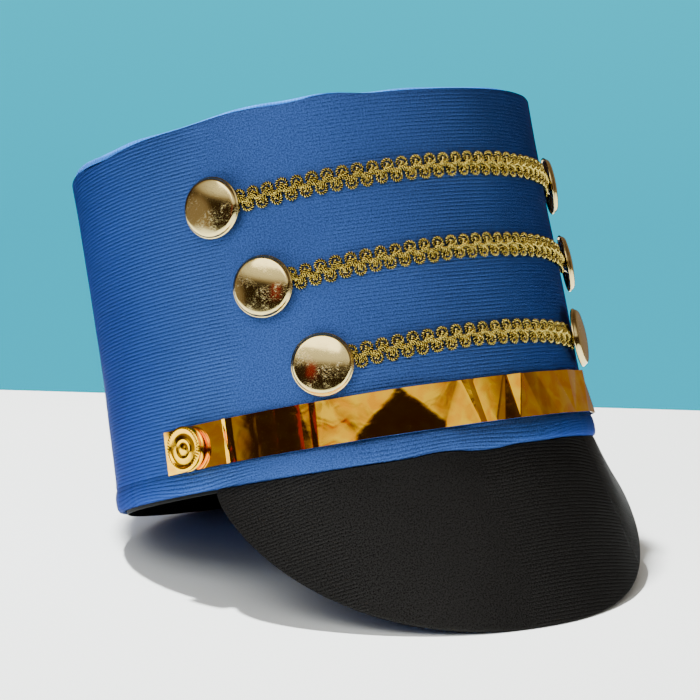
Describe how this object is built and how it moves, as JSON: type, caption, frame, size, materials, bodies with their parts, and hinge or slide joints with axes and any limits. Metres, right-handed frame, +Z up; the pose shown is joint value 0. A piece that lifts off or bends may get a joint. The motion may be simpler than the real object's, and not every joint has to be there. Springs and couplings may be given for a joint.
{
  "type": "shako hat",
  "caption": "Tall oval costume shako with a flat top, steep front visor, foil band, gimp braids and domed buttons; worn on the head for parades and costume.",
  "frame": {"origin": "centre of the hat's footprint, on the surface that it rests on", "axes": "+Z up from the surface; -Y to the front, where the visor is; +X to the wearer's left. The crown leans back towards +Y, as the hat rests by itself"},
  "size_m": [0.1884, 0.263, 0.1835],
  "materials": {
    "blue_satin": "ribbed royal-blue satin with a soft sheen",
    "black_satin": "ribbed black satin with a soft sheen",
    "black_tape": "plain black woven tape",
    "gold_foil": "mirror-bright metallised gold film, creased",
    "gold_thread": "metallic gold cord",
    "gold_plate": "polished gold plate with fine scratches",
    "stamped_gold": "bright stamped gold plate"
  },
  "bodies": {
    "root": {"crown_side": "blue_satin", "crown_top": "blue_satin", "sweatband": "black_tape", "visor": "black_satin", "front_band": "gold_foil", "band_button_right": "stamped_gold", "band_button_left": "stamped_gold", "braid_upper": "gold_thread", "braid_middle": "gold_thread", "braid_lower": "gold_thread", "dome_button_upper_right": "gold_plate", "dome_button_upper_left": "gold_plate", "dome_button_middle_right": "gold_plate", "dome_button_middle_left": "gold_plate", "dome_button_lower_right": "gold_plate", "dome_button_lower_left": "gold_plate"}
  },
  "joints": []
}
